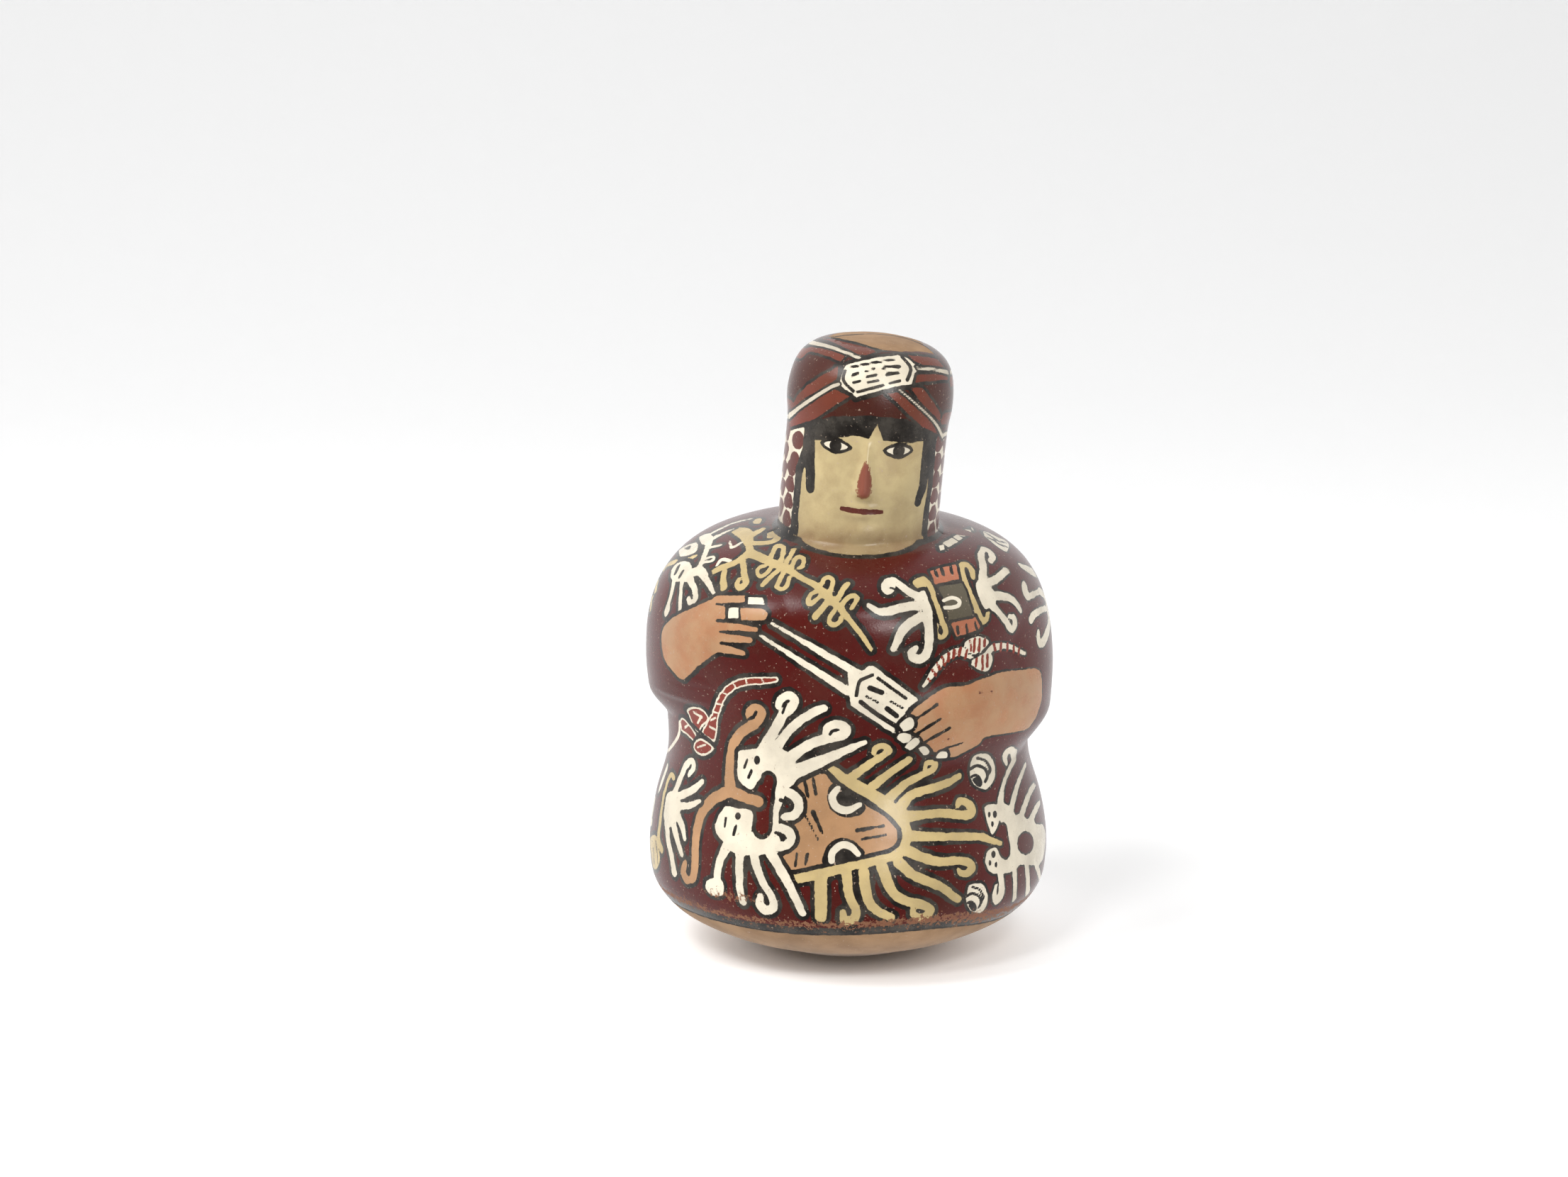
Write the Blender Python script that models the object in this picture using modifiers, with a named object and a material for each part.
"""Hollow clay vessel in the shape of a robed figure, with a spout and a bridge handle behind the head.

The whole vessel is one fired piece, so it is one solid. The figure faces -Y, its own right arm is at -X,
and the origin is at the middle of the small flat spot that it stands on. Sizes are in metres.
Angles round the figure are measured from its front, positive towards +X.
"""

import math

import bmesh
import bpy
import numpy as np
from mathutils import Matrix, Vector

VESSEL = "figure_vessel"

# Robe and shoulders: a turned form that stands on a small flat spot
ROBE_HEIGHT = 0.1490
ROBE_RADIUS = 0.0664
FOOT_RADIUS = 0.0180
WALL = 0.0045
FOOT_WALL = 0.0060

# The robe's outline from the edge of the flat spot up to the middle of the shoulders:
# shares of (ROBE_RADIUS - FOOT_RADIUS) outside the flat spot, and shares of ROBE_HEIGHT,
# as SHOULDERS_TOP is for the height on the axis
ROBE_OUTLINE = (
    (0.00, 0.000),
    (0.16, 0.012),
    (0.35, 0.034),
    (0.59, 0.060),
    (0.835, 0.103),
    (0.97, 0.152),
    (1.02, 0.202),
    (1.025, 0.262),
    (0.97, 0.355),
    (0.895, 0.460),
    (0.90, 0.570),
    (0.95, 0.680),
    (0.97, 0.775),
    (0.94, 0.845),
    (0.84, 0.897),
    (0.66, 0.940),
    (0.40, 0.971),
    (0.10, 0.989),
)
SHOULDERS_TOP = 0.990
ROBE_STEPS = 72
ROBE_HOLLOW_STEPS = 36
OUTLINE_POINTS_PER_SPAN = 2

# Sleeves and hands, pushed out of the wall along a line on the robe.
# Each stop: angle round the figure, share of ROBE_HEIGHT, and as shares of ROBE_RADIUS
# how far it stands out and how far it reaches above and below the line
RIGHT_ARM = (
    (-108, 0.650, 0.042, 0.51, 0.21),
    (-86, 0.612, 0.078, 0.60, 0.145),
    (-66, 0.665, 0.072, 0.42, 0.21),
    (-46, 0.775, 0.045, 0.27, 0.26),
    (-28, 0.835, 0.024, 0.17, 0.21),
)
LEFT_ARM = (
    (108, 0.640, 0.045, 0.51, 0.21),
    (87, 0.572, 0.099, 0.66, 0.16),
    (62, 0.580, 0.087, 0.39, 0.24),
    (38, 0.615, 0.063, 0.27, 0.26),
    (16, 0.575, 0.024, 0.20, 0.23),
)

# Head with its wrapped cloth, a turned form that leans to the figure's left
HEAD_RADIUS = 0.0267
HEAD_HEIGHT = 0.0652
HEAD_WALL = 0.0042
HEAD_FORWARD = 0.0120
HEAD_ASIDE = 0.0029
HEAD_LEAN = math.radians(4.9)
HEAD_SINK = 0.0090
HEAD_OUTLINE = (
    (1.000, 0.000),
    (0.998, 0.280),
    (0.998, 0.540),
    (1.030, 0.665),
    (1.020, 0.770),
    (0.975, 0.850),
    (0.880, 0.910),
    (0.700, 0.958),
    (0.420, 0.987),
)
HEAD_STEPS = 48
HEAD_HOLLOW_STEPS = 32

# Nose: a low wedge, its middle at a share of the head's height
NOSE_LENGTH = 0.0150
NOSE_WIDTH = 0.0062
NOSE_DEPTH = 0.0036
NOSE_LEVEL = 0.376

# Spout, on the shoulders behind the head, with room for a finger between the two
FINGER_GAP = 0.0185
SPOUT_RADIUS = 0.0098
SPOUT_WALL = 0.0034
SPOUT_LENGTH = 0.0360
SPOUT_LEAN = math.radians(5.0)
SPOUT_SINK = 0.0030
SPOUT_FLARE = 0.0042
SPOUT_FLARE_HEIGHT = 0.0080
SPOUT_FLARE_SPANS = 5
SPOUT_LIP = 0.0009
SPOUT_LIP_START = 0.8
SPOUT_STEPS = 32
SPOUT_BACK = HEAD_RADIUS - HEAD_FORWARD + FINGER_GAP + SPOUT_RADIUS

# Bridge handle: a flat arched strap from the back of the head to the spout.
# BRIDGE_FLARE and BRIDGE_ROUNDING are shares of its width and thickness
BRIDGE_WIDTH = 0.0190
BRIDGE_THICKNESS = 0.0062
BRIDGE_RISE = 0.0030
BRIDGE_FLARE = 0.35
BRIDGE_BELOW_CROWN = 0.0282
BRIDGE_BELOW_RIM = 0.0080
BRIDGE_BITE = 0.0020
BRIDGE_ROUNDING = 0.4
BRIDGE_SPANS = 8

# Colours as linear red, green, blue
SLIP_RED = (0.105, 0.018, 0.016)
MERGE = 0.00005


def smooth_line(points, per_span):
    """A Catmull-Rom curve through the points, with per_span steps between each two."""
    points = [np.array(p, float) for p in points]
    padded = [2 * points[0] - points[1], *points, 2 * points[-1] - points[-2]]
    line = []
    for a, b, c, d in zip(padded, padded[1:], padded[2:], padded[3:]):
        for step in range(per_span):
            t = step / per_span
            line.append(
                0.5
                * (
                    2 * b
                    + (c - a) * t
                    + (2 * a - 5 * b + 4 * c - d) * t**2
                    + (3 * b - a - 3 * c + d) * t**3
                )
            )
    line.append(points[-1])
    return np.array(line)


def robe_outline():
    """Radius and height along the robe, from the flat spot's edge to the middle of the shoulders."""
    line = smooth_line(ROBE_OUTLINE, OUTLINE_POINTS_PER_SPAN)
    radius = FOOT_RADIUS + line[:, 0] * (ROBE_RADIUS - FOOT_RADIUS)
    return np.column_stack([radius, line[:, 1] * ROBE_HEIGHT])


def head_outline():
    """Radius and height along the head, from the neck to near the crown, in the head's own axes."""
    line = smooth_line(HEAD_OUTLINE, OUTLINE_POINTS_PER_SPAN)
    return np.column_stack([line[:, 0] * HEAD_RADIUS, line[:, 1] * HEAD_HEIGHT])


def shoulder_height(distance):
    """Height of the shoulders at this distance from the robe's axis."""
    line = robe_outline()
    top = line[len(line) * 3 // 4 :]
    return float(np.interp(distance, top[::-1, 0], top[::-1, 1]))


def inset(line, wall):
    """The outline moved inwards by the wall's thickness, at right angles to itself."""
    along = np.gradient(line, axis=0)
    along /= np.linalg.norm(along, axis=1)[:, None]
    return line + wall * np.column_stack([-along[:, 1], along[:, 0]])


def turned(name, line, steps, bottom, top):
    """A closed turned solid: the outline runs up its outer side and meets the axis at both ends."""
    profile = [(0.0, bottom), *line, (0.0, top)]
    mesh = bpy.data.meshes.new(name)
    points = [(r, 0.0, z) for r, z in reversed(profile)]
    mesh.from_pydata(points, [(i, i + 1) for i in range(len(points) - 1)], [])
    profile_object = bpy.data.objects.new(name, mesh)
    bpy.context.scene.collection.objects.link(profile_object)
    screw = profile_object.modifiers.new("turn", "SCREW")
    screw.steps = steps
    screw.render_steps = steps
    screw.use_merge_vertices = True
    screw.merge_threshold = MERGE
    return settled(profile_object)


def settled(source):
    """A mesh object with the source's modifiers applied, in the source's place."""
    bpy.context.view_layer.update()
    graph = bpy.context.evaluated_depsgraph_get()
    mesh = bpy.data.meshes.new_from_object(source.evaluated_get(graph))
    name = source.name
    place = source.matrix_world.copy()
    bpy.data.objects.remove(source)
    made = bpy.data.objects.new(name, mesh)
    made.matrix_world = place
    bpy.context.scene.collection.objects.link(made)
    return made


def arm_rise(angle, height, arm):
    """How far a sleeve or hand stands out at this angle and height on the robe."""
    stops = np.array(arm, float)
    stops[:, 0] = np.radians(stops[:, 0])
    stops[:, 1] *= ROBE_HEIGHT
    stops[:, (0, 2, 3, 4)] *= ROBE_RADIUS
    line = smooth_line(stops, 6)
    spot = np.array([angle * ROBE_RADIUS, height])
    offset = line[:, :2] - spot
    above = spot[1] > line[:, 1]
    reach = np.where(above, line[:, 3], line[:, 4])
    away = np.clip(np.hypot(offset[:, 0], offset[:, 1]) / reach, 0, 1)
    return float(np.max(line[:, 2] * (1 - away**2) ** 1.5))


def push_out_arms(robe):
    """Moves the robe's points outwards where the sleeves and hands lie."""
    for vertex in robe.data.vertices:
        x, y, z = vertex.co
        radius = math.hypot(x, y)
        if radius < FOOT_RADIUS:
            continue
        angle = math.atan2(x, -y)
        rise = max(arm_rise(angle, z, RIGHT_ARM), arm_rise(angle, z, LEFT_ARM))
        vertex.co = (x * (1 + rise / radius), y * (1 + rise / radius), z)


def head_place():
    """The head's own axes: at the neck line, leaning, with -Y still to the front."""
    neck = shoulder_height(math.hypot(HEAD_FORWARD, HEAD_RADIUS))
    turn = Matrix.Rotation(HEAD_LEAN, 4, "Y")
    return Matrix.Translation((HEAD_ASIDE, -HEAD_FORWARD, neck)) @ turn


def spout_place():
    """The spout's own axes: on the shoulders behind the head, leaning back."""
    foot = shoulder_height(SPOUT_BACK)
    turn = Matrix.Rotation(-SPOUT_LEAN, 4, "X")
    return Matrix.Translation((0.0, SPOUT_BACK, foot)) @ turn


def robe():
    """The outer form of the robe, shoulders, sleeves and hands."""
    made = turned("robe", robe_outline(), ROBE_STEPS, 0.0, ROBE_HEIGHT * SHOULDERS_TOP)
    push_out_arms(made)
    return made


def head():
    """The outer form of the head and its wrapped cloth, sunk a little into the shoulders."""
    line = head_outline()
    line = np.vstack([[HEAD_RADIUS, -HEAD_SINK], line])
    made = turned("head", line, HEAD_STEPS, -HEAD_SINK, HEAD_HEIGHT)
    made.matrix_world = head_place()
    return made


def nose():
    """A rounded wedge, narrow at the brow and full at the tip, bedded in the face."""
    mesh = bpy.data.meshes.new("nose")
    shape = bmesh.new()
    bmesh.ops.create_uvsphere(shape, u_segments=16, v_segments=10, radius=1.0)
    for vertex in shape.verts:
        x, y, z = vertex.co
        down = (1 - z) / 2
        width = NOSE_WIDTH / 2 * (0.45 + 0.55 * down)
        depth = NOSE_DEPTH * (0.35 + 0.65 * down)
        vertex.co = (x * width, y * depth, z * NOSE_LENGTH / 2)
    shape.to_mesh(mesh)
    shape.free()
    made = bpy.data.objects.new("nose", mesh)
    bpy.context.scene.collection.objects.link(made)
    made.matrix_world = head_place() @ Matrix.Translation((0.0, -HEAD_RADIUS, HEAD_HEIGHT * NOSE_LEVEL))
    return made


def bed_on_shoulders(tube):
    """Shears the flared foot of an upright tube so that its edge follows the slope of the shoulders."""
    turn = tube.matrix_world.to_3x3().inverted()
    for vertex in tube.data.vertices:
        place = tube.matrix_world @ vertex.co
        slope = shoulder_height(math.hypot(place.x, place.y)) - shoulder_height(SPOUT_BACK)
        share = min(max(1 - vertex.co.z / SPOUT_FLARE_HEIGHT, 0.0), 1.0)
        vertex.co += turn @ Vector((0.0, 0.0, slope * share))


def spout():
    """The outer form of the spout: a tube that flares at its foot and turns out a little at its lip."""
    rises = np.linspace(0.0, 1.0, SPOUT_FLARE_SPANS + 1)
    flare = [(SPOUT_RADIUS + SPOUT_FLARE * (1 - t) ** 2, SPOUT_FLARE_HEIGHT * t) for t in rises]
    lip = (
        (SPOUT_RADIUS, SPOUT_LENGTH * SPOUT_LIP_START),
        (SPOUT_RADIUS + SPOUT_LIP, SPOUT_LENGTH - SPOUT_LIP),
        (SPOUT_RADIUS + SPOUT_LIP / 2, SPOUT_LENGTH),
    )
    line = [(SPOUT_RADIUS + SPOUT_FLARE, -SPOUT_SINK), *flare, *lip]
    made = turned("spout", line, SPOUT_STEPS, -SPOUT_SINK, SPOUT_LENGTH)
    made.matrix_world = spout_place()
    bed_on_shoulders(made)
    return made


def bridge():
    """The strap: a cube cut into spans along its length, bent along an arch and flared at both ends."""
    start = head_place() @ Vector((0.0, HEAD_RADIUS - BRIDGE_BITE, HEAD_HEIGHT - BRIDGE_BELOW_CROWN))
    end = spout_place() @ Vector((0.0, BRIDGE_BITE - SPOUT_RADIUS, SPOUT_LENGTH - BRIDGE_BELOW_RIM))
    mesh = bpy.data.meshes.new("bridge")
    shape = bmesh.new()
    bmesh.ops.create_cube(shape, size=1.0)
    lengthways = [e for e in shape.edges if abs(e.verts[0].co.y - e.verts[1].co.y) > 0.5]
    bmesh.ops.subdivide_edges(shape, edges=lengthways, cuts=BRIDGE_SPANS - 1)
    for vertex in shape.verts:
        x, y, z = vertex.co
        t = y + 0.5
        middle = start.lerp(end, t)
        flare = 1 + BRIDGE_FLARE * (2 * t - 1) ** 4
        rise = BRIDGE_RISE * (1 - (2 * t - 1) ** 2)
        vertex.co = (
            middle.x + x * BRIDGE_WIDTH * flare,
            middle.y,
            middle.z + rise + z * BRIDGE_THICKNESS * flare,
        )
    shape.to_mesh(mesh)
    shape.free()
    made = bpy.data.objects.new("bridge", mesh)
    bpy.context.scene.collection.objects.link(made)
    soft = made.modifiers.new("soft edges", "BEVEL")
    soft.width = BRIDGE_THICKNESS * BRIDGE_ROUNDING
    soft.segments = 2
    soft.limit_method = "ANGLE"
    return settled(made)


def robe_hollow():
    """The space inside the robe, a wall's thickness inside its turned form."""
    line = inset(robe_outline()[::2], WALL)
    line = line[line[:, 1] > FOOT_WALL]
    made = turned("robe_hollow", line, ROBE_HOLLOW_STEPS, FOOT_WALL, float(line[-1, 1]))
    return made


def head_hollow():
    """The space inside the head, open to the space inside the robe."""
    line = inset(head_outline()[::2], HEAD_WALL)
    line = line[line[:, 1] < HEAD_HEIGHT - HEAD_WALL]
    below = -HEAD_SINK - WALL
    line = np.vstack([[HEAD_RADIUS - HEAD_WALL, below], line])
    made = turned("head_hollow", line, HEAD_HOLLOW_STEPS, below, HEAD_HEIGHT - HEAD_WALL)
    made.matrix_world = head_place()
    return made


def spout_bore():
    """The bore of the spout, from above its lip down into the space inside the robe.

    It is turned half a step from the spout, so that no corner of it falls on an edge of the spout's top.
    """
    below = -SPOUT_SINK - 2 * WALL
    length = SPOUT_LENGTH + SPOUT_SINK - below
    mesh = bpy.data.meshes.new("spout_bore")
    shape = bmesh.new()
    bmesh.ops.create_cone(
        shape,
        cap_ends=True,
        segments=SPOUT_STEPS,
        radius1=SPOUT_RADIUS - SPOUT_WALL,
        radius2=SPOUT_RADIUS - SPOUT_WALL,
        depth=length,
    )
    bmesh.ops.translate(shape, verts=shape.verts, vec=(0.0, 0.0, below + length / 2))
    shape.to_mesh(mesh)
    shape.free()
    made = bpy.data.objects.new("spout_bore", mesh)
    bpy.context.scene.collection.objects.link(made)
    made.matrix_world = spout_place() @ Matrix.Rotation(math.pi / SPOUT_STEPS, 4, "Z")
    return made


def boolean(target, other, operation):
    """Joins or cuts the target with the other object, which stays as a hidden helper."""
    modifier = target.modifiers.new(other.name, "BOOLEAN")
    modifier.operation = operation
    modifier.solver = "EXACT"
    modifier.object = other
    other.hide_render = True
    other.display_type = "WIRE"


def clay():
    """Burnished dark red slip."""
    material = bpy.data.materials.new("burnished_slip")
    material.use_nodes = True
    shader = material.node_tree.nodes["Principled BSDF"]
    shader.inputs["Base Color"].default_value = (*SLIP_RED, 1.0)
    shader.inputs["Roughness"].default_value = 0.35
    shader.inputs["Metallic"].default_value = 0.0
    return material


def clear_scene():
    for old in list(bpy.data.objects):
        bpy.data.objects.remove(old)


def sort_into_collections(vessel, helpers):
    """The vessel goes in a collection of its own name, and the helpers in another."""
    scene = bpy.context.scene.collection
    for title, members in ((VESSEL, [vessel]), ("helpers", helpers)):
        group = bpy.data.collections.new(title)
        scene.children.link(group)
        for member in members:
            scene.objects.unlink(member)
            group.objects.link(member)


def main():
    clear_scene()
    vessel = robe()
    vessel.name = VESSEL
    joined = [head(), spout(), bridge(), nose()]
    hollows = [robe_hollow(), head_hollow(), spout_bore()]
    for other in joined:
        boolean(vessel, other, "UNION")
    for other in hollows:
        boolean(vessel, other, "DIFFERENCE")
    vessel.data.materials.clear()
    vessel.data.materials.append(clay())
    vessel.data.shade_smooth()
    sort_into_collections(vessel, joined + hollows)


main()
